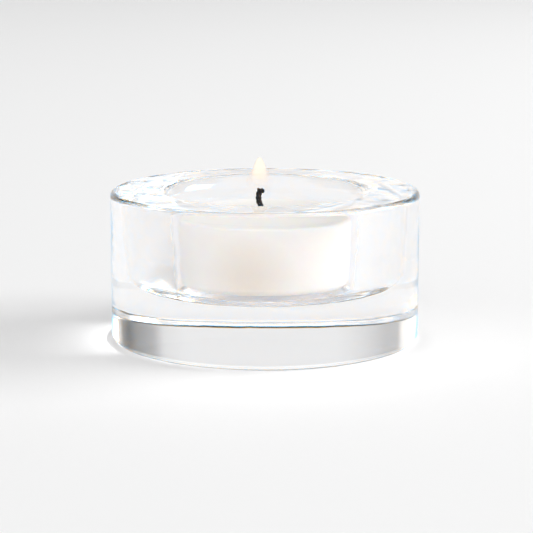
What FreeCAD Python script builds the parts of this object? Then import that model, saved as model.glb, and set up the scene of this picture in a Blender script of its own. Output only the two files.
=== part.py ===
"""A thick pressed-glass tealight holder with its tealight in place: a heavy clear glass body, and in its
cavity a clear plastic cup that holds a wax fill, a wick and the metal tab that keeps the wick upright.

Units are millimetres. +Z is up, and the origin is the middle of the face that the glass stands on.
"""

import FreeCAD, Part
import math
import os

V = FreeCAD.Vector
AXIS = V(0, 0, 1)
os.makedirs("parts", exist_ok=True)

# --- Glass body: one pressed lump, far heavier than the candle needs ---
GLASS_RADIUS = 34.5
GLASS_HEIGHT = 33.3
FLOOR_HEIGHT = 11.4          # solid glass under the cavity
MOUTH_RADIUS = 21.2          # cavity at the rim, before its edge is rounded
CAVITY_FOOT_RADIUS = 20.3    # the wall leans out upwards, so that the plunger comes away
CAVITY_ROUNDING = 2.9
RIM_ROUNDING = 1.2
MOUTH_ROUNDING = 3.0          # soft lip, melted back by the fire polish
FOOT_ROUNDING = 1.2

# --- Tealight cup: thin clear moulding with a flat floor that a rib keeps off the glass ---
CUP_TOP_RADIUS = 19.6
CUP_FOOT_RADIUS = 19.35
CUP_HEIGHT = 17.6            # from the foot of the rib to the lip
CUP_WALL = 0.4
CUP_ROUNDING = 2.2           # outside corner at the foot
CUP_LIP_ROUNDING = 0.15
RIB_HEIGHT = 1.5
RIB_RADIUS = 16.6            # outside of the rib
RIB_WIDTH = 1.2
RIB_EDGE_ROUNDING = 0.2
LOCATOR_RADIUS = 7.0         # low moulded ring that centres the wick tab
LOCATOR_WIDTH = 0.6
LOCATOR_HEIGHT = 0.4
LOCATOR_EDGE_ROUNDING = 0.1

# --- Wax fill ---
WAX_LEVEL = 16.8             # its surface, above the surface that the cup stands on
WAX_GAP = 0.15               # wax shrinks off the cup as it sets
WAX_EDGE_ROUNDING = 0.35

# --- Wick: braided cotton, bent over where it has burned ---
WICK_RADIUS = 0.6
BEND_START = 26.8            # height at which the wick leaves the upright
LEAN_ANGLE = 24.0            # first bend, to the left
LEAN_RADIUS = 2.6
LEAN_RUN = 2.1
CURL_ANGLE = 51.0            # second bend, back to the right
CURL_RADIUS = 4.0

# --- Wick tab: pressed tinplate disc with a crimped neck ---
TAB_RADIUS = 6.5
TAB_THICKNESS = 0.25
TAB_EDGE_ROUNDING = 0.08
NECK_CLEARANCE = 0.02
NECK_HEIGHT = 4.2
NECK_FLARE = 0.8

# --- Worked out from the sizes above ---
CUP_BOTTOM = FLOOR_HEIGHT + RIB_HEIGHT               # outside face of the cup's floor
CUP_FLOOR = CUP_BOTTOM + CUP_WALL                    # inside face of it
CUP_LEAN = (CUP_TOP_RADIUS - CUP_FOOT_RADIUS) / (CUP_HEIGHT - RIB_HEIGHT)
NECK_BORE = WICK_RADIUS + NECK_CLEARANCE


def turned(corners):
    """The solid of revolution bounded by (radius, height, rounding) corners, each rounded by its own arc."""
    points = [V(radius, 0, height) for radius, height, _ in corners]
    starts, ends, arcs = [], [], []
    for i, (_, _, rounding) in enumerate(corners):
        corner, before, after = points[i], points[i - 1], points[(i + 1) % len(points)]
        if rounding == 0:
            starts.append(corner)
            ends.append(corner)
            arcs.append(None)
            continue
        back = (before - corner).normalize()
        on = (after - corner).normalize()
        half = back.getAngle(on) / 2
        setback = rounding / math.tan(half)
        centre = corner + (back + on).normalize() * (rounding / math.sin(half))
        middle = centre + (corner - centre).normalize() * rounding
        starts.append(corner + back * setback)
        ends.append(corner + on * setback)
        arcs.append(Part.Arc(starts[i], middle, ends[i]).toShape())
    loop = []
    for i, arc in enumerate(arcs):
        if arc is not None:
            loop.append(arc)
        following = starts[(i + 1) % len(starts)]
        if ends[i].distanceToPoint(following) > 1e-6:
            loop.append(Part.LineSegment(ends[i], following).toShape())
    return Part.Face(Part.Wire(loop)).revolve(V(0, 0, 0), AXIS, 360)


def glass_holder():
    """Solid of revolution: round foot, straight outer wall, flat rim, leaning cavity wall and flat floor."""
    return turned([
        (0, 0, 0),
        (GLASS_RADIUS, 0, FOOT_ROUNDING),
        (GLASS_RADIUS, GLASS_HEIGHT, RIM_ROUNDING),
        (MOUTH_RADIUS, GLASS_HEIGHT, MOUTH_ROUNDING),
        (CAVITY_FOOT_RADIUS, FLOOR_HEIGHT, CAVITY_ROUNDING),
        (0, FLOOR_HEIGHT, 0),
    ])


def tealight_cup():
    """Thin shell with a rounded corner, a rib to stand on and a low ring inside that centres the tab."""
    top = FLOOR_HEIGHT + CUP_HEIGHT
    inner_foot = CUP_FOOT_RADIUS + CUP_LEAN * CUP_WALL - CUP_WALL
    rib_inner = RIB_RADIUS - RIB_WIDTH
    locator_outer = LOCATOR_RADIUS + LOCATOR_WIDTH
    locator_top = CUP_FLOOR + LOCATOR_HEIGHT
    return turned([
        (0, CUP_BOTTOM, 0),
        (rib_inner, CUP_BOTTOM, 0),
        (rib_inner, FLOOR_HEIGHT, RIB_EDGE_ROUNDING),
        (RIB_RADIUS, FLOOR_HEIGHT, RIB_EDGE_ROUNDING),
        (RIB_RADIUS, CUP_BOTTOM, 0),
        (CUP_FOOT_RADIUS, CUP_BOTTOM, CUP_ROUNDING),
        (CUP_TOP_RADIUS, top, CUP_LIP_ROUNDING),
        (CUP_TOP_RADIUS - CUP_WALL, top, CUP_LIP_ROUNDING),
        (inner_foot, CUP_FLOOR, CUP_ROUNDING - CUP_WALL),
        (locator_outer, CUP_FLOOR, 0),
        (locator_outer, locator_top, LOCATOR_EDGE_ROUNDING),
        (LOCATOR_RADIUS, locator_top, LOCATOR_EDGE_ROUNDING),
        (LOCATOR_RADIUS, CUP_FLOOR, 0),
        (0, CUP_FLOOR, 0),
    ])


def wick_tab():
    """Flat disc that stands on the cup's floor, with a neck that flares into it and grips the wick."""
    neck_outer = NECK_BORE + TAB_THICKNESS
    disc_top = CUP_FLOOR + TAB_THICKNESS
    return turned([
        (NECK_BORE, CUP_FLOOR, 0),
        (TAB_RADIUS, CUP_FLOOR, TAB_EDGE_ROUNDING),
        (TAB_RADIUS, disc_top, TAB_EDGE_ROUNDING),
        (neck_outer, disc_top, NECK_FLARE),
        (neck_outer, CUP_FLOOR + NECK_HEIGHT, TAB_EDGE_ROUNDING),
        (NECK_BORE, CUP_FLOOR + NECK_HEIGHT, 0),
    ])


def wick():
    """Round cord on one smooth path: upright through the tab and the wax, then two tangent bends."""
    lean = math.radians(LEAN_ANGLE)
    curl = math.radians(CURL_ANGLE)
    foot = V(0, 0, CUP_FLOOR + TAB_THICKNESS)
    bend = V(0, 0, BEND_START)

    def on_lean(angle):
        return bend + V(math.cos(angle) - 1, 0, math.sin(angle)) * LEAN_RADIUS

    run_end = on_lean(lean) + V(-math.sin(lean), 0, math.cos(lean)) * LEAN_RUN
    curl_centre = run_end + V(math.cos(lean), 0, math.sin(lean)) * CURL_RADIUS

    def on_curl(turn):
        return curl_centre - V(math.cos(lean - turn), 0, math.sin(lean - turn)) * CURL_RADIUS

    path = Part.Wire([
        Part.LineSegment(foot, bend).toShape(),
        Part.Arc(bend, on_lean(lean / 2), on_lean(lean)).toShape(),
        Part.LineSegment(on_lean(lean), run_end).toShape(),
        Part.Arc(run_end, on_curl(curl / 2), on_curl(curl)).toShape(),
    ])
    section = Part.Wire([Part.Circle(foot, AXIS, WICK_RADIUS).toShape()])
    cord = path.makePipeShell([section], True, False)
    expected = math.pi * WICK_RADIUS ** 2 * path.Length
    print(f"wick: volume {cord.Volume:.3f}, section times length {expected:.3f}")
    return cord


def wax_fill(tab, cord):
    """Fills the cup to just under its lip, set round the wick tab and the wick."""
    foot_radius = CUP_FOOT_RADIUS + CUP_LEAN * CUP_WALL - CUP_WALL - WAX_GAP
    level = FLOOR_HEIGHT + WAX_LEVEL
    level_radius = foot_radius + CUP_LEAN * (level - CUP_FLOOR)
    groove_inner = LOCATOR_RADIUS - WAX_GAP
    groove_outer = LOCATOR_RADIUS + LOCATOR_WIDTH + WAX_GAP
    groove_top = CUP_FLOOR + LOCATOR_HEIGHT + WAX_GAP
    fill = turned([
        (0, CUP_FLOOR, 0),
        (groove_inner, CUP_FLOOR, 0),
        (groove_inner, groove_top, 0),
        (groove_outer, groove_top, 0),
        (groove_outer, CUP_FLOOR, 0),
        (foot_radius, CUP_FLOOR, CUP_ROUNDING - CUP_WALL),
        (level_radius, level, WAX_EDGE_ROUNDING),
        (0, level, 0),
    ])
    neck_inside = Part.makeCylinder(NECK_BORE, NECK_HEIGHT, V(0, 0, CUP_FLOOR), AXIS)
    return fill.cut(tab).cut(neck_inside).cut(cord)


def one_solid(shape):
    """The single solid that a shape holds, checked."""
    solids = shape.Solids
    if len(solids) != 1 or not solids[0].isValid():
        raise ValueError(f"expected one valid solid and found {len(solids)}")
    return solids[0]


tab = one_solid(wick_tab())
cord = one_solid(wick())
pieces = {
    "glass_holder": one_solid(glass_holder()),
    "tealight_cup": one_solid(tealight_cup()),
    "wax_fill": one_solid(wax_fill(tab, cord)),
    "wick_tab": tab,
    "wick": cord,
}
for name, solid in pieces.items():
    solid.exportStep(f"parts/{name}.step")
    print(f"{name}: volume {solid.Volume:.1f}, {len(solid.Faces)} faces")
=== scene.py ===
import math

import bmesh
import bpy
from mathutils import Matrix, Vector, noise


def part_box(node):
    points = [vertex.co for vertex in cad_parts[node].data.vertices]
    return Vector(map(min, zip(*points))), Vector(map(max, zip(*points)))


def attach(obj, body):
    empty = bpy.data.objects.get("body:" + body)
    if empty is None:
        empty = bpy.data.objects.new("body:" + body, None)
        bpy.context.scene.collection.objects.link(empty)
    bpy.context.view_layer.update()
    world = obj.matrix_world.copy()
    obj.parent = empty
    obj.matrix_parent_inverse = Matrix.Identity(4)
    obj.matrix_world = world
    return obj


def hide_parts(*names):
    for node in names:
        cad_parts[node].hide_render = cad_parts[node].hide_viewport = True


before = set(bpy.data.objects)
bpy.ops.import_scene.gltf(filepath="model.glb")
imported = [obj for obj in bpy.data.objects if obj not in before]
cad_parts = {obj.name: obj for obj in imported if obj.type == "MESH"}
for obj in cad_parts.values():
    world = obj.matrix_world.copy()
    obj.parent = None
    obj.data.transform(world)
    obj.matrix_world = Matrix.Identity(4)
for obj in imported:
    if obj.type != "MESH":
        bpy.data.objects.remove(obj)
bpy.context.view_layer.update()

# ----------------------------------------------------------------------------------------------------------
# Glass holder. One gob of clear soda-lime glass, pressed in a mould by a plunger and then fire-polished: a
# heavy solid base, a thick wall and melted-back edges. The plunger and the fire leave the inside and the rim
# slightly uneven, while the outside, which cooled against the mould, stays true.
# ----------------------------------------------------------------------------------------------------------
MM = 0.001
ROUND_STEPS = 12             # facets in each rounded corner
GUARD = 0.12                 # a loop this far from each rounding keeps the flats beside it flat
FLAT_STEP = 1.3              # longest facet along a profile


def unit(a, b):
    return (b - a).normalized()


def turned(corners, steps):
    """A closed bmesh spun from (radius, height, rounding) corners in millimetres, facing outwards."""
    bm = bmesh.new()
    points = [Vector((radius, 0, height)) for radius, height, _ in corners]
    setbacks = []
    for i, (_, _, rounding) in enumerate(corners):
        if rounding == 0:
            setbacks.append(0.0)
            continue
        before, after = points[i - 1], points[(i + 1) % len(points)]
        half = unit(points[i], before).angle(unit(points[i], after)) / 2
        setbacks.append(rounding / math.tan(half))
    verts = [bm.verts.new(p) for p in points]
    pairs = list(zip(range(len(points)), range(1, len(points))))
    if points[0].x > 0 or points[-1].x > 0:
        pairs.append((len(points) - 1, 0))
    for i, j in pairs:
        way = unit(points[i], points[j])
        length = (points[j] - points[i]).length
        near = setbacks[i] + GUARD if setbacks[i] else 0.0
        far = length - setbacks[j] - GUARD if setbacks[j] else length
        stops = [near] if near else []
        if far > near:
            count = math.ceil((far - near) / FLAT_STEP)
            stops += [near + (far - near) * k / count for k in range(1, count)]
            if far < length:
                stops.append(far)
        chain = [verts[i]] + [bm.verts.new(points[i] + way * s) for s in stops] + [verts[j]]
        for a, b in zip(chain, chain[1:]):
            bm.edges.new((a, b))
    for vert, setback in zip(verts, setbacks):
        if setback:
            bmesh.ops.bevel(bm, geom=[vert], offset=setback, offset_type="OFFSET", segments=ROUND_STEPS,
                            profile=0.5, affect="VERTICES", material=-1, clamp_overlap=False)
    bmesh.ops.spin(bm, geom=bm.verts[:] + bm.edges[:], cent=(0, 0, 0), axis=(0, 0, 1), dvec=(0, 0, 0),
                   angle=math.tau, steps=steps, use_merge=True, use_duplicate=False)
    bmesh.ops.remove_doubles(bm, verts=bm.verts[:], dist=1e-4)
    bmesh.ops.recalc_face_normals(bm, faces=bm.faces[:])
    if bm.calc_volume(signed=True) < 0:
        bmesh.ops.reverse_faces(bm, faces=bm.faces[:])
    return bm


def piece_from(bm, name, body, material, node=None):
    """A finished smooth piece in metres, riding on a body, from a bmesh in millimetres."""
    bmesh.ops.scale(bm, vec=(MM, MM, MM), verts=bm.verts[:])
    mesh = bpy.data.meshes.new(name)
    bm.to_mesh(mesh)
    bm.free()
    mesh.shade_smooth()
    mesh.materials.append(material)
    piece = bpy.data.objects.new(name, mesh)
    bpy.context.scene.collection.objects.link(piece)
    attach(piece, body)
    if node:
        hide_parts(node)
    return piece


def new_material(name):
    """A node material, its tree, and its Principled shader."""
    material = bpy.data.materials.new(name)
    material.use_nodes = True
    return material, material.node_tree, material.node_tree.nodes["Principled BSDF"]


def noise_field(tree, scale, detail=3.0, stretch=(1, 1, 1)):
    """A noise texture on Object coordinates, with scale in features per metre."""
    place = tree.nodes.new("ShaderNodeTexCoord")
    mapping = tree.nodes.new("ShaderNodeMapping")
    mapping.inputs["Scale"].default_value = stretch
    tree.links.new(place.outputs["Object"], mapping.inputs["Vector"])
    field = tree.nodes.new("ShaderNodeTexNoise")
    field.inputs["Scale"].default_value = scale
    field.inputs["Detail"].default_value = detail
    tree.links.new(mapping.outputs["Vector"], field.inputs["Vector"])
    return field.outputs["Fac"]


def bump_from(tree, height, depth, strength=1.0):
    """A bump normal from a height field of 0 to 1, depth metres deep."""
    bump = tree.nodes.new("ShaderNodeBump")
    bump.inputs["Strength"].default_value = strength
    bump.inputs["Distance"].default_value = depth
    tree.links.new(height, bump.inputs["Height"])
    return bump.outputs["Normal"]


_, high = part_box("glass_holder")
GLASS_RADIUS = high.x / MM
GLASS_HEIGHT = high.z / MM
FLOOR_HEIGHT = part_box("tealight_cup")[0].z / MM
MOUTH_RADIUS = 21.2
CAVITY_FOOT_RADIUS = 20.3
CAVITY_ROUNDING = 2.9
EDGE_ROUNDING = 1.2
MOUTH_ROUNDING = 3.0
GLASS_STEPS = 256            # round the axis
WAVE_LENGTH = 7.0            # size of the unevenness
RIM_WAVE = 0.09              # and how deep it is, on the rim and in the cavity
WALL_WAVE = 0.012
CHOP = 0.4                   # a shorter wave on top of that one: its share, and how many go to each
CHOPS = 2.3
WAVE_SINK = 0.3              # lets the waves take more off than they add
RIM_CRIMP = 0.02             # a finer unevenness, only on the rim
CRIMP_LENGTH = 2.4
NEAR = 1.0                   # within this of a face counts as on it

glass = turned([
    (0, 0, 0),
    (GLASS_RADIUS, 0, EDGE_ROUNDING),
    (GLASS_RADIUS, GLASS_HEIGHT, EDGE_ROUNDING),
    (MOUTH_RADIUS, GLASS_HEIGHT, MOUTH_ROUNDING),
    (CAVITY_FOOT_RADIUS, FLOOR_HEIGHT, CAVITY_ROUNDING),
    (0, FLOOR_HEIGHT, 0),
], GLASS_STEPS)
glass.normal_update()
for vert in glass.verts:
    radius = vert.co.xy.length
    on_outside = radius > GLASS_RADIUS - EDGE_ROUNDING or vert.co.z < EDGE_ROUNDING
    under_cup = radius < CAVITY_FOOT_RADIUS - CAVITY_ROUNDING + NEAR and vert.co.z < FLOOR_HEIGHT + NEAR
    wave = 0 if vert.co.z < EDGE_ROUNDING or under_cup else WALL_WAVE if on_outside else RIM_WAVE
    chop = CHOP * noise.noise(vert.co * CHOPS / WAVE_LENGTH)
    swell = noise.noise(vert.co / WAVE_LENGTH) + chop - WAVE_SINK
    crimp = RIM_CRIMP * noise.noise(vert.co / CRIMP_LENGTH) if vert.co.z > GLASS_HEIGHT - NEAR else 0
    vert.co += vert.normal * (wave * swell + crimp)

pressed_glass, tree, shader = new_material("pressed_glass")
shader.inputs["Base Color"].default_value = (0.991, 0.988, 1.0, 1)
shader.inputs["Roughness"].default_value = 0.0
shader.inputs["IOR"].default_value = 1.5
shader.inputs["Transmission Weight"].default_value = 1.0
ripple = bump_from(tree, noise_field(tree, 160, 2), 0.0002, 0.12)
tree.links.new(ripple, shader.inputs["Normal"])
# Glass bends blue light more than red. What is seen directly in the glass is split in two for that.
SPLIT = (((2, 1, 0, 1), 1.492), ((0, 1, 2, 1), 1.508))
path = tree.nodes.new("ShaderNodeLightPath")
fringed = tree.nodes.new("ShaderNodeMixShader")
fringed.inputs["Fac"].default_value = 0.5
for i, (colour, ior) in enumerate(SPLIT):
    band = tree.nodes.new("ShaderNodeBsdfGlass")
    band.inputs["Color"].default_value = colour
    band.inputs["Roughness"].default_value = 0.0
    band.inputs["IOR"].default_value = ior
    tree.links.new(ripple, band.inputs["Normal"])
    first_hit = tree.nodes.new("ShaderNodeMixShader")
    tree.links.new(path.outputs["Is Camera Ray"], first_hit.inputs["Fac"])
    tree.links.new(shader.outputs[0], first_hit.inputs[1])
    tree.links.new(band.outputs[0], first_hit.inputs[2])
    tree.links.new(first_hit.outputs[0], fringed.inputs[1 + i])
tree.links.new(fringed.outputs[0], tree.nodes["Material Output"].inputs["Surface"])
piece_from(glass, "pressed_glass_holder", "holder", pressed_glass, "glass_holder")

# ----------------------------------------------------------------------------------------------------------
# Tealight cup. A thin clear polycarbonate moulding. A rib under its flat floor keeps it off the glass, and a
# low ring inside centres the wick's tab.
# ----------------------------------------------------------------------------------------------------------
_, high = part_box("tealight_cup")
CUP_TOP_RADIUS = high.x / MM
CUP_TOP = high.z / MM
CUP_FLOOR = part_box("wax_fill")[0].z / MM
CUP_FOOT_RADIUS = 19.35
CUP_WALL = 0.4
CUP_ROUNDING = 2.2
CUP_BOTTOM = CUP_FLOOR - CUP_WALL
RIB_RADIUS = 16.6
RIB_WIDTH = 1.2
RIB_EDGE_ROUNDING = 0.2
LOCATOR_RADIUS = 7.0
LOCATOR_WIDTH = 0.6
LOCATOR_HEIGHT = 0.4
LOCATOR_EDGE_ROUNDING = 0.1
LIP_ROUNDING = 0.15
CUP_STEPS = 192
CLEARANCE = 0.02             # keeps faces that rest on each other apart

cup = turned([
    (0, CUP_BOTTOM, 0),
    (RIB_RADIUS - RIB_WIDTH, CUP_BOTTOM, 0),
    (RIB_RADIUS - RIB_WIDTH, FLOOR_HEIGHT + CLEARANCE, RIB_EDGE_ROUNDING),
    (RIB_RADIUS, FLOOR_HEIGHT + CLEARANCE, RIB_EDGE_ROUNDING),
    (RIB_RADIUS, CUP_BOTTOM, 0),
    (CUP_FOOT_RADIUS, CUP_BOTTOM, CUP_ROUNDING),
    (CUP_TOP_RADIUS, CUP_TOP, LIP_ROUNDING),
    (CUP_TOP_RADIUS - CUP_WALL, CUP_TOP, LIP_ROUNDING),
    (CUP_FOOT_RADIUS - CUP_WALL, CUP_FLOOR, CUP_ROUNDING - CUP_WALL),
    (LOCATOR_RADIUS + LOCATOR_WIDTH, CUP_FLOOR, 0),
    (LOCATOR_RADIUS + LOCATOR_WIDTH, CUP_FLOOR + LOCATOR_HEIGHT, LOCATOR_EDGE_ROUNDING),
    (LOCATOR_RADIUS, CUP_FLOOR + LOCATOR_HEIGHT, LOCATOR_EDGE_ROUNDING),
    (LOCATOR_RADIUS, CUP_FLOOR, 0),
    (0, CUP_FLOOR, 0),
], CUP_STEPS)


def remap(tree, value, low, high, start=0.0, end=1.0):
    """value, which runs from start to end, spread over low to high."""
    spread = tree.nodes.new("ShaderNodeMapRange")
    spread.inputs["From Min"].default_value = start
    spread.inputs["From Max"].default_value = end
    spread.inputs["To Min"].default_value = low
    spread.inputs["To Max"].default_value = high
    tree.links.new(value, spread.inputs["Value"])
    return spread.outputs["Result"]


clear_plastic, tree, shader = new_material("clear_polycarbonate")
shader.inputs["Base Color"].default_value = (0.93, 0.93, 0.96, 1)
shader.inputs["Metallic"].default_value = 1.0
drawn = noise_field(tree, 260, 4, (1, 1, 0.2))       # drawn out up the wall, as the melt flowed
tree.links.new(remap(tree, drawn, 0.02, 0.1), shader.inputs["Roughness"])
flow = noise_field(tree, 220, 2, (1, 1, 0.3))
tree.links.new(bump_from(tree, flow, 0.0001, 0.15), shader.inputs["Normal"])
# The wall is too thin to bend light much, so it is a clear film that only reflects, most at a glancing view.
FACE_ON_GLEAM = 0.045
GLANCING_GLEAM = 0.6
glance = tree.nodes.new("ShaderNodeLayerWeight")
steep = tree.nodes.new("ShaderNodeMath")
steep.operation = "POWER"
steep.inputs[1].default_value = 5.0
tree.links.new(glance.outputs["Facing"], steep.inputs[0])
gleam = remap(tree, steep.outputs[0], FACE_ON_GLEAM, GLANCING_GLEAM)
film = tree.nodes.new("ShaderNodeMixShader")
straight = tree.nodes.new("ShaderNodeBsdfTransparent")
tree.links.new(gleam, film.inputs["Fac"])
tree.links.new(straight.outputs[0], film.inputs[1])
tree.links.new(shader.outputs[0], film.inputs[2])
tree.links.new(film.outputs[0], tree.nodes["Material Output"].inputs["Surface"])
piece_from(cup, "clear_tealight_cup", "tealight", clear_plastic, "tealight_cup")

# ----------------------------------------------------------------------------------------------------------
# Wax fill. Poured paraffin wax, cream-white and slightly translucent. It has shrunk a hair from the cup,
# creeps up the wick, and is melted to a clear glossy pool around it.
# ----------------------------------------------------------------------------------------------------------
_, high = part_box("wax_fill")
WAX_RADIUS = high.x / MM
WAX_TOP = high.z / MM
WAX_GAP = 0.15               # how far it has shrunk
WAX_FOOT_RADIUS = CUP_FOOT_RADIUS - CUP_WALL - WAX_GAP
WAX_EDGE_ROUNDING = 0.6
WAX_STEPS = 192
TOP_BAND = 0.7               # the part under the surface that follows the surface
RIPPLE = 0.06
RIPPLE_LENGTH = 5.0
POOL_RADIUS = 8.5
POOL_DEPTH = 0.35
CREEP_HEIGHT = 0.7           # of the wax drawn up the wick
CREEP_RADIUS = 1.1

wax = turned([
    (0, CUP_FLOOR + CLEARANCE, 0),
    (LOCATOR_RADIUS - WAX_GAP, CUP_FLOOR + CLEARANCE, 0),
    (LOCATOR_RADIUS - WAX_GAP, CUP_FLOOR + LOCATOR_HEIGHT + WAX_GAP, 0),
    (LOCATOR_RADIUS + LOCATOR_WIDTH + WAX_GAP, CUP_FLOOR + LOCATOR_HEIGHT + WAX_GAP, 0),
    (LOCATOR_RADIUS + LOCATOR_WIDTH + WAX_GAP, CUP_FLOOR + CLEARANCE, 0),
    (WAX_FOOT_RADIUS, CUP_FLOOR + CLEARANCE, CUP_ROUNDING - CUP_WALL),
    (WAX_RADIUS, WAX_TOP, WAX_EDGE_ROUNDING),
    (0, WAX_TOP, 0),
], WAX_STEPS)
for vert in wax.verts:
    radius = vert.co.xy.length
    if vert.co.z > WAX_TOP - TOP_BAND:
        pool = 0.5 + 0.5 * math.cos(math.pi * min(radius / POOL_RADIUS, 1))
        creep = math.exp(-(radius / CREEP_RADIUS) ** 2)
        ripple = RIPPLE * noise.noise(vert.co / RIPPLE_LENGTH)
        vert.co.z += CREEP_HEIGHT * creep - POOL_DEPTH * pool + ripple

paraffin, tree, shader = new_material("paraffin_wax")
cream = tree.nodes.new("ShaderNodeMix")
cream.data_type = "RGBA"
cream.inputs["A"].default_value = (0.885, 0.873, 0.842, 1)
cream.inputs["B"].default_value = (0.855, 0.83, 0.788, 1)
tree.links.new(noise_field(tree, 90, 4), cream.inputs["Factor"])
SHADE_SPOT = Vector((-3.2, -19, 17.5))     # painted shade: a warm darker patch low on the front of the wax
SHADE_SPOT_REACH = (1.9, 9.5)
where = tree.nodes.new("ShaderNodeTexCoord")
from_patch = tree.nodes.new("ShaderNodeVectorMath")
from_patch.operation = "DISTANCE"
tree.links.new(where.outputs["Object"], from_patch.inputs[0])
from_patch.inputs[1].default_value = SHADE_SPOT * MM
# The wax is painted darker and warmer around that spot, as painted shade, fading out between the two
# reaches.
painted_shade = tree.nodes.new("ShaderNodeMix")
painted_shade.data_type = "RGBA"
painted_shade.inputs["B"].default_value = (0.78, 0.715, 0.63, 1)
tree.links.new(cream.outputs["Result"], painted_shade.inputs["A"])
shade_share = remap(tree, from_patch.outputs["Value"], 1, 0, SHADE_SPOT_REACH[0] * MM, SHADE_SPOT_REACH[1] * MM)
tree.links.new(shade_share, painted_shade.inputs["Factor"])
tree.links.new(painted_shade.outputs["Result"], shader.inputs["Base Color"])
shader.inputs["Subsurface Weight"].default_value = 0.6
shader.inputs["Subsurface Radius"].default_value = (1.0, 0.75, 0.5)
shader.inputs["Subsurface Scale"].default_value = 0.004
shader.inputs["Specular IOR Level"].default_value = 0.35
split_xyz = tree.nodes.new("ShaderNodeSeparateXYZ")
tree.links.new(where.outputs["Object"], split_xyz.inputs[0])
flat = tree.nodes.new("ShaderNodeCombineXYZ")
tree.links.new(split_xyz.outputs["X"], flat.inputs["X"])
tree.links.new(split_xyz.outputs["Y"], flat.inputs["Y"])
reach = tree.nodes.new("ShaderNodeVectorMath")
reach.operation = "LENGTH"
tree.links.new(flat.outputs[0], reach.inputs[0])
POOL_EDGE = 0.8              # the melted gloss dulls from this share of the pool's radius outwards
GLOSSY, DULL = 0.06, 0.42
dulled = remap(tree, reach.outputs["Value"], GLOSSY, DULL, POOL_EDGE * POOL_RADIUS * MM, POOL_RADIUS * MM)
tree.links.new(dulled, shader.inputs["Roughness"])
tree.links.new(bump_from(tree, noise_field(tree, 700, 4), 0.00005, 0.3), shader.inputs["Normal"])
piece_from(wax, "wax_puck", "candle", paraffin, "wax_fill")

# ----------------------------------------------------------------------------------------------------------
# Wick tab. A disc stamped from bright tinplate, with a neck crimped on the wick. Its press marks run
# round it. Its shape is the frame's own.
# ----------------------------------------------------------------------------------------------------------
tinplate, tree, shader = new_material("tinplate")
shader.inputs["Metallic"].default_value = 1.0
tone = tree.nodes.new("ShaderNodeMix")
tone.data_type = "RGBA"
tone.inputs["A"].default_value = (0.62, 0.61, 0.59, 1)
tone.inputs["B"].default_value = (0.8, 0.79, 0.77, 1)
tree.links.new(noise_field(tree, 500, 5), tone.inputs["Factor"])
tree.links.new(tone.outputs["Result"], shader.inputs["Base Color"])
rings = tree.nodes.new("ShaderNodeTexWave")
rings.wave_type = "RINGS"
rings.rings_direction = "Z"
rings.inputs["Scale"].default_value = 900
rings.inputs["Distortion"].default_value = 1.5
place = tree.nodes.new("ShaderNodeTexCoord")
tree.links.new(place.outputs["Object"], rings.inputs["Vector"])
tree.links.new(remap(tree, rings.outputs["Fac"], 0.18, 0.34), shader.inputs["Roughness"])
tree.links.new(bump_from(tree, rings.outputs["Fac"], 0.00002, 0.4), shader.inputs["Normal"])
tab_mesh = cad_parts["wick_tab"].data
tab_mesh.materials.clear()
tab_mesh.materials.append(tinplate)

# ----------------------------------------------------------------------------------------------------------
# Wick. Braided cotton cord: eight strands, four wound each way and woven over and under. Where it has
# burned it is charred black, bent over, and frayed into knobs of ash at its tip.
# ----------------------------------------------------------------------------------------------------------
low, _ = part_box("wick")
WICK_FOOT = low.z / MM
BEND_START = 26.8
LEAN_ANGLE = math.radians(24)
LEAN_RADIUS = 2.6
LEAN_RUN = 2.1
CURL_ANGLE = math.radians(51)
CURL_RADIUS = 4.0
STRANDS = 8
STRAND_RADIUS = 0.2
BRAID_RADIUS = 0.43
WEAVE = 0.06                 # how far a strand rises and dips as it crosses the others
LAY = 3.6                    # length of one whole turn of a strand
STEP = 0.15
SWELL = 0.35                 # how unevenly thick the strands are
SWELLS = 1.7                 # and how quickly that changes
KNOBS = (
    # place from the tip of the wick, and radius
    ((-0.5, -0.1, 0.06), 0.3),
    ((0.36, -0.12, 0.04), 0.3),
    ((0.5, 0, -0.4), 0.4),
    ((-0.1, 0.1, -0.5), 0.5),
)
KNOB_CRAGS = 0.14
CRAGS = 2.4
KNOB_SEED = 1                # the crags are drawn at random


def wick_path(s):
    """The middle of the wick and its direction, s millimetres up from its foot."""
    upright = BEND_START - WICK_FOOT
    if s <= upright:
        return Vector((0, 0, WICK_FOOT + s)), Vector((0, 0, 1))
    turn = min((s - upright) / LEAN_RADIUS, LEAN_ANGLE)
    point = Vector((LEAN_RADIUS * (math.cos(turn) - 1), 0, BEND_START + LEAN_RADIUS * math.sin(turn)))
    way = Vector((-math.sin(turn), 0, math.cos(turn)))
    rest = s - upright - LEAN_RADIUS * turn
    if rest <= 0:
        return point, way
    run = min(rest, LEAN_RUN)
    point += way * run
    curl = (rest - run) / CURL_RADIUS
    across = Vector((math.cos(LEAN_ANGLE), 0, math.sin(LEAN_ANGLE)))
    outward = Vector((math.cos(LEAN_ANGLE - curl), 0, math.sin(LEAN_ANGLE - curl)))
    point += (across - outward) * CURL_RADIUS
    return point, Vector((-math.sin(LEAN_ANGLE - curl), 0, math.cos(LEAN_ANGLE - curl)))


charred, tree, shader = new_material("charred_cotton")
soot = tree.nodes.new("ShaderNodeValToRGB")
soot.color_ramp.elements[0].position = 0.5
soot.color_ramp.elements[0].color = (0.006, 0.005, 0.005, 1)
soot.color_ramp.elements[1].position = 0.75
soot.color_ramp.elements[1].color = (0.12, 0.07, 0.04, 1)
tree.links.new(noise_field(tree, 1500, 4), soot.inputs["Fac"])
tree.links.new(soot.outputs["Color"], shader.inputs["Base Color"])
shader.inputs["Roughness"].default_value = 0.85
tree.links.new(bump_from(tree, noise_field(tree, 6000, 5), 0.00006, 0.8), shader.inputs["Normal"])

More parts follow.
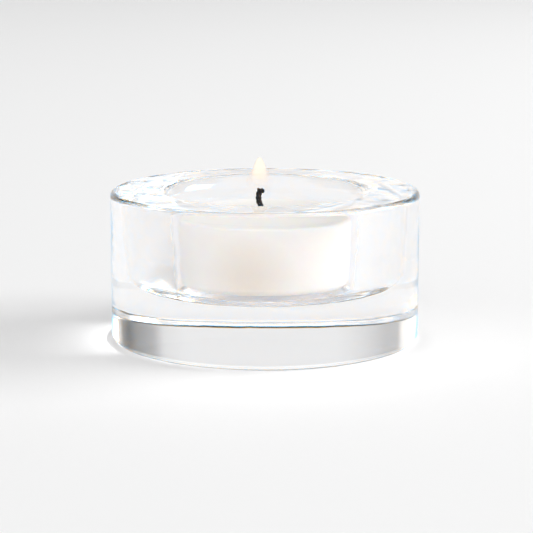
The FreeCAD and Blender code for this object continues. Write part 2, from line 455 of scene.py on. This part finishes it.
wick_length = (BEND_START - WICK_FOOT) + LEAN_RADIUS * LEAN_ANGLE + LEAN_RUN + CURL_RADIUS * CURL_ANGLE
braid = bpy.data.curves.new("braid", "CURVE")
braid.dimensions = "3D"
braid.bevel_depth = STRAND_RADIUS * MM
braid.bevel_resolution = 2
braid.use_fill_caps = True
stations = round(wick_length / STEP)
for strand in range(STRANDS):
    hand = 1 if strand % 2 else -1
    start = math.tau * (strand // 2) / (STRANDS // 2)
    line = braid.splines.new("POLY")
    line.points.add(stations)
    for i in range(stations + 1):
        s = wick_length * i / stations
        middle, way = wick_path(s)
        angle = start + hand * math.tau * s / LAY
        rise = WEAVE * hand * math.cos((STRANDS // 2) * math.tau * s / LAY)
        side = Vector((0, 1, 0))
        out = way.cross(side)
        place = middle + (side * math.sin(angle) + out * math.cos(angle)) * (BRAID_RADIUS + rise)
        line.points[i].co = (*(place * MM), 1)
        line.points[i].radius = 1.0 + SWELL * noise.noise(place * SWELLS + Vector((strand * 7, 0, 0)))
braid_object = bpy.data.objects.new("braid", braid)
bpy.context.scene.collection.objects.link(braid_object)
evaluated = braid_object.evaluated_get(bpy.context.evaluated_depsgraph_get())
strands = bmesh.new()
strands.from_mesh(bpy.data.meshes.new_from_object(evaluated))
bpy.data.objects.remove(braid_object)
bmesh.ops.scale(strands, vec=(1 / MM, 1 / MM, 1 / MM), verts=strands.verts[:])
tip, way = wick_path(wick_length)
noise.seed_set(KNOB_SEED)
for offset, size in KNOBS:
    made = bmesh.ops.create_icosphere(strands, subdivisions=3, radius=size)
    bmesh.ops.translate(strands, vec=tip + Vector(offset), verts=made["verts"])
    for vert in made["verts"]:
        vert.co += Vector(noise.noise_vector(vert.co * CRAGS)) * KNOB_CRAGS
piece_from(strands, "braided_wick", "candle", charred, "wick")

# ----------------------------------------------------------------------------------------------------------
# Flame. Burning wax vapour, hottest and whitest in its middle, yellow and then peach towards its edge, and
# faint round its foot. Nested skins of light give it that soft edge. It moves with the wick that feeds it.
# ----------------------------------------------------------------------------------------------------------
FLAME_FOOT = 33.2
FLAME_TIP = 40.6
FLAME_MIDDLE = -1.2          # along X: over the bend of the wick
FLAME_RADIUS = 2.5
FLAME_STEPS = 36             # up the flame
FLAME_TURNS = 48             # and round it
FADE_HEIGHT = 5.0            # over which it fades in from its foot
BLUNTNESS = 0.8              # under 1 fills out its foot and its tip
FOOT_FULLNESS = 1.12
DRAWN_IN = (0.42, 0.3)       # how much it narrows on its way up, taken twice for a hollow shoulder
SKINS = (
    # share of the full width, rise of the foot, share of the full height, colour, strength, opacity
    (1.42, -0.2, 0.72, (1.0, 0.82, 0.73), 1.0, 0.17),
    (1.12, 0.1, 0.90, (1.0, 0.83, 0.73), 1.0, 0.15),
    (0.94, 0.4, 0.98, (1.0, 0.86, 0.74), 1.02, 0.20),
    (0.80, 0.9, 0.97, (1.0, 0.93, 0.77), 1.15, 0.34),
    (0.67, 1.5, 0.96, (1.0, 0.96, 0.78), 1.15, 0.55),
    (0.53, 2.2, 0.94, (1.0, 0.98, 0.86), 1.3, 0.7),
)


def flame_skin(width, foot, tip):
    """A closed bell, broad and round at its foot and drawn in to a soft tip."""
    skin = bmesh.new()
    bottom = FLAME_FOOT + foot
    height = FLAME_FOOT + (FLAME_TIP - FLAME_FOOT) * tip - bottom
    outline = []
    for k in range(FLAME_STEPS + 1):
        turn = math.pi * k / FLAME_STEPS
        share = (1 - math.cos(turn)) / 2
        narrowed = (1 - DRAWN_IN[0] * share) * (FOOT_FULLNESS - DRAWN_IN[1] * share)
        radius = FLAME_RADIUS * width * math.sin(turn) ** BLUNTNESS * narrowed
        outline.append(skin.verts.new((0 if k in (0, FLAME_STEPS) else radius, 0, bottom + height * share)))
    for a, b in zip(outline, outline[1:]):
        skin.edges.new((a, b))
    bmesh.ops.spin(skin, geom=skin.verts[:] + skin.edges[:], cent=(0, 0, 0), axis=(0, 0, 1), dvec=(0, 0, 0),
                   angle=math.tau, steps=FLAME_TURNS, use_merge=True, use_duplicate=False)
    bmesh.ops.remove_doubles(skin, verts=skin.verts[:], dist=1e-4)
    bmesh.ops.recalc_face_normals(skin, faces=skin.faces[:])
    if skin.calc_volume(signed=True) < 0:
        bmesh.ops.reverse_faces(skin, faces=skin.faces[:])
    bmesh.ops.translate(skin, vec=(FLAME_MIDDLE, 0, 0), verts=skin.verts[:])
    return skin


for i, (width, foot, tip, colour, strength, opacity) in enumerate(SKINS):
    glow, tree, shader = new_material(f"flame_{i + 1}")
    tree.nodes.remove(shader)
    light = tree.nodes.new("ShaderNodeEmission")
    light.inputs["Color"].default_value = (*colour, 1)
    light.inputs["Strength"].default_value = strength
    clear = tree.nodes.new("ShaderNodeBsdfTransparent")
    where = tree.nodes.new("ShaderNodeTexCoord")
    height = tree.nodes.new("ShaderNodeSeparateXYZ")
    tree.links.new(where.outputs["Object"], height.inputs[0])
    start = (FLAME_FOOT + foot) * MM
    fade = remap(tree, height.outputs["Z"], 0, opacity, start, start + FADE_HEIGHT * MM)
    mix = tree.nodes.new("ShaderNodeMixShader")
    tree.links.new(fade, mix.inputs["Fac"])
    tree.links.new(clear.outputs[0], mix.inputs[1])
    tree.links.new(light.outputs[0], mix.inputs[2])
    tree.links.new(mix.outputs[0], tree.nodes["Material Output"].inputs["Surface"])
    piece_from(flame_skin(width, foot, tip), f"flame_skin_{i + 1}", "candle", glow)

# ----------------------------------------------------------------------------------------------------------
# Floor. White and matt, larger than the view, and lit a little from below where the glass stands, as on a
# light table. The foot of the cavity shows that light.
# ----------------------------------------------------------------------------------------------------------
FLOOR_REACH = 4.0            # in metres
FLOOR_DROP = 0.00005         # also; just under the glass, so that their faces don't share a plane
LIT_REACH = (23, 28)         # where the light from below begins to fade, and where it has gone
LIT_LEVEL = 0.1
sheet = bmesh.new()
bmesh.ops.create_grid(sheet, x_segments=1, y_segments=1, size=FLOOR_REACH)
bmesh.ops.translate(sheet, vec=(0, 0, -FLOOR_DROP), verts=sheet.verts[:])
floor_mesh = bpy.data.meshes.new("floor")
sheet.to_mesh(floor_mesh)
sheet.free()
floor = bpy.data.objects.new("floor", floor_mesh)
bpy.context.scene.collection.objects.link(floor)
white_matt, tree, shader = new_material("white_matt")
shader.inputs["Base Color"].default_value = (0.85, 0.85, 0.85, 1)
shader.inputs["Roughness"].default_value = 0.9
shader.inputs["Emission Color"].default_value = (0.96, 0.96, 1.0, 1)
where = tree.nodes.new("ShaderNodeTexCoord")
reach = tree.nodes.new("ShaderNodeVectorMath")
reach.operation = "LENGTH"
tree.links.new(where.outputs["Object"], reach.inputs[0])
lit = remap(tree, reach.outputs["Value"], LIT_LEVEL, 0, LIT_REACH[0] * MM, LIT_REACH[1] * MM)
tree.links.new(lit, shader.inputs["Emission Strength"])
floor_mesh.materials.append(white_matt)

# ----------------------------------------------------------------------------------------------------------
# Light. A white studio, with a dark screen behind on the right and a grey one behind on the left, an unlit
# ceiling behind, which draws the glass's dark edges, and one large lamp on the right.
# ----------------------------------------------------------------------------------------------------------
WALLS = (
    # degrees from straight behind the glass, clockwise from above, and brightness
    (-180, 1.1), (-110, 1.1), (-80, 1.0), (-51, 0.95), (-47, 0.46), (-38, 0.5), (-28, 0.68), (-18, 0.82),
    (20, 0.82), (28, 0.74), (33, 0.42), (43, 0.24), (50, 0.04), (57, 0.1), (63, 0.7), (110, 1.1), (180, 1.1),
)
UPPER = (
    # the same for the ceiling: unlit behind the glass, and lit white in front of it
    (-180, 1.3), (-112, 1.3), (-92, 0.04), (92, 0.04), (112, 1.3), (180, 1.3),
)
TOP = 1.2                    # brightness straight overhead
HORIZON = 1.22               # how much brighter the walls are near the floor
LOW_RISE = (9.5, 12.0)       # degrees above the horizon between which that ends
WALL_TOP = (16.5, 19)        # between which the walls give way to the ceiling
TOP_RISE = (58, 68)          # and the ceiling to what is overhead
world = bpy.data.worlds.new("studio")
bpy.context.scene.world = world
world.use_nodes = True
tree = world.node_tree
nodes, links = tree.nodes, tree.links
where = nodes.new("ShaderNodeTexCoord")
split_xyz = nodes.new("ShaderNodeSeparateXYZ")
links.new(where.outputs["Generated"], split_xyz.inputs[0])
bearing = nodes.new("ShaderNodeMath")
bearing.operation = "ARCTAN2"
links.new(split_xyz.outputs["X"], bearing.inputs[0])
links.new(split_xyz.outputs["Y"], bearing.inputs[1])
around = remap(tree, bearing.outputs[0], 0, 1, -math.pi, math.pi)
BRIGHTEST = 1.5              # the ramps hold levels of 0 to 1


def ring_of(levels):
    """Brightness by bearing."""
    band = nodes.new("ShaderNodeValToRGB")
    links.new(around, band.inputs["Fac"])
    for i, (degrees, level) in enumerate(levels):
        place = degrees / 360 + 0.5
        stop = band.color_ramp.elements[i] if i < 2 else band.color_ramp.elements.new(place)
        stop.position = place
        stop.color = (level / BRIGHTEST,) * 3 + (1,)
    return band.outputs["Color"]


def at_rise(degrees, before, after):
    """A smooth change from before to after between two heights above the horizon."""
    step = nodes.new("ShaderNodeMapRange")
    step.interpolation_type = "SMOOTHSTEP"
    step.inputs["From Min"].default_value = math.sin(math.radians(degrees[0]))
    step.inputs["From Max"].default_value = math.sin(math.radians(degrees[1]))
    step.inputs["To Min"].default_value = before
    step.inputs["To Max"].default_value = after
    links.new(split_xyz.outputs["Z"], step.inputs["Value"])
    return step.outputs["Result"]


def scaled(colour, by):
    """A colour times a number or a level."""
    lit = nodes.new("ShaderNodeVectorMath")
    lit.operation = "SCALE"
    links.new(colour, lit.inputs[0])
    if isinstance(by, (int, float)):
        lit.inputs["Scale"].default_value = by
    else:
        links.new(by, lit.inputs["Scale"])
    return lit.outputs[0]


def blended(share, a, b):
    """a where share is 0, b where it is 1."""
    blend = nodes.new("ShaderNodeMix")
    blend.data_type = "RGBA"
    links.new(share, blend.inputs["Factor"])
    links.new(a, blend.inputs["A"])
    if isinstance(b, tuple):
        blend.inputs["B"].default_value = b
    else:
        links.new(b, blend.inputs["B"])
    return blend.outputs["Result"]


walls = scaled(ring_of(WALLS), at_rise(LOW_RISE, BRIGHTEST * HORIZON, BRIGHTEST))
upper = scaled(ring_of(UPPER), BRIGHTEST)
sides = blended(at_rise(WALL_TOP, 0, 1), walls, upper)
links.new(blended(at_rise(TOP_RISE, 0, 1), sides, (TOP, TOP, TOP, 1)), nodes["Background"].inputs["Color"])

key = bpy.data.lights.new("key", "AREA")
key.shape = "RECTANGLE"
key.size = 1.5
key.size_y = 1.0
key.energy = 36
key_object = bpy.data.objects.new("key", key)
bpy.context.scene.collection.objects.link(key_object)
key_object.location = (1.85, 0.17, 0.91)
key_object.rotation_euler = (Vector((0, 0, 0.01)) - key_object.location).to_track_quat("-Z", "Y").to_euler()

# ----------------------------------------------------------------------------------------------------------
# Camera. A long lens, square to the front of the glass and a little above it. The light paths are long
# enough for every surface of glass, cup and flame that a ray can cross.
# ----------------------------------------------------------------------------------------------------------
CAMERA_RISE = math.radians(10.95)
CAMERA_DISTANCE = 0.4287
CAMERA_LENS = 128.7
look_at = Vector((0.00034, 0, 0.01567))
camera = bpy.data.cameras.new("camera")
camera.lens = CAMERA_LENS
camera.sensor_width = 36
camera.clip_start = 0.01
camera_object = bpy.data.objects.new("camera", camera)
bpy.context.scene.collection.objects.link(camera_object)
towards_camera = Vector((0, -math.cos(CAMERA_RISE), math.sin(CAMERA_RISE)))
camera_object.location = look_at + towards_camera * CAMERA_DISTANCE
camera_object.rotation_euler = (look_at - camera_object.location).to_track_quat("-Z", "Y").to_euler()
scene = bpy.context.scene
scene.camera = camera_object
scene.view_settings.view_transform = "Standard"
scene.cycles.max_bounces = 24
scene.cycles.transmission_bounces = 24
scene.cycles.glossy_bounces = 16
scene.cycles.diffuse_bounces = 8
scene.cycles.transparent_max_bounces = 24
scene.cycles.blur_glossy = 0.0
